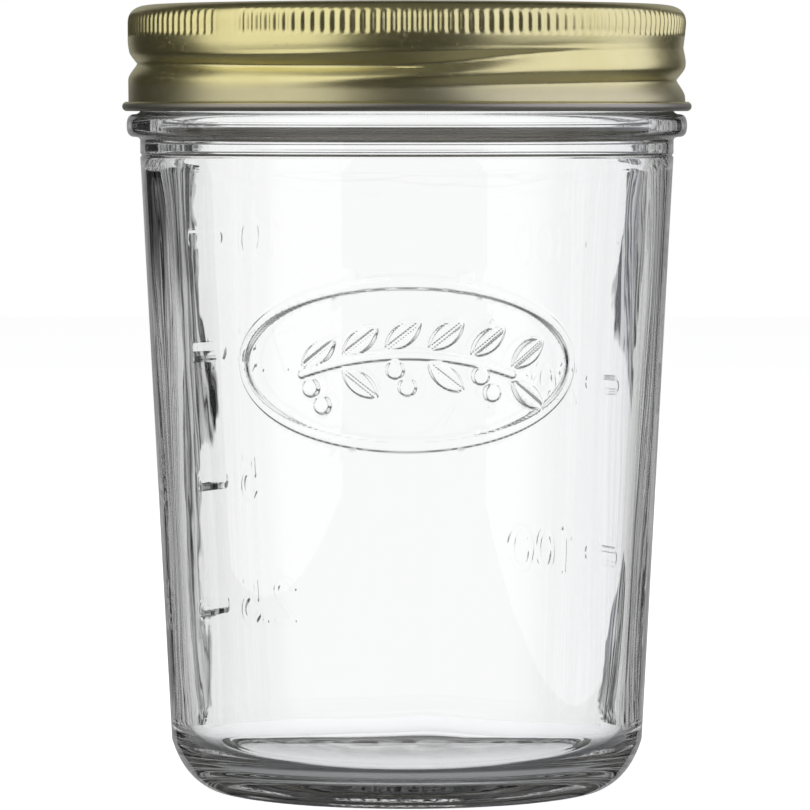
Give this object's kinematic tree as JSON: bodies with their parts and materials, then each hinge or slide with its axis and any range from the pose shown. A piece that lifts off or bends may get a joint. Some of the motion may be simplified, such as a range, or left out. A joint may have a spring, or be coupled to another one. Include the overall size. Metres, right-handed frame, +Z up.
{
  "type": "preserving jar",
  "caption": "Wide-mouth glass preserving jar with a tapering wall, a flat vacuum lid disc with its sealing ring, and a knurled screw band that turns and lifts off.",
  "frame": {"origin": "centre of the bearing ring that the jar stands on, on the surface it stands on", "axes": "+Z up along the jar's axis, through the middle of the lid; -Y is the front, the side that the picture shows; +X is to the right of the front"},
  "size_m": [0.091, 0.091, 0.1246],
  "materials": {
    "clear_glass": "clear pressed glass, glossy, with faint waves",
    "disc_lacquer": "tinplate under pale gold lacquer, satin",
    "sealing_compound": "soft grey sealing compound, matt",
    "gold_lacquer": "tinplate under champagne gold lacquer, satin"
  },
  "bodies": {
    "jar": {"jar_body": "clear_glass"},
    "lid": {"lid_disc": "disc_lacquer", "sealing_ring": "sealing_compound"},
    "band": {"screw_band": "gold_lacquer"}
  },
  "joints": [
    {"name": "lid_rise", "type": "slide", "parent": "jar", "child": "lid", "axis": [0, 0, 1], "range_m": [0, 0.0204]},
    {"name": "band_turn", "type": "hinge", "parent": "lid", "child": "band", "pos_m": [0, 0, 0.124], "axis": [0, 0, 1], "range_deg": [0, 1440]}
  ],
  "couplings": [
    {"joint": "lid_rise", "follows": "band_turn", "m_per_rad": 0.00080851}
  ]
}
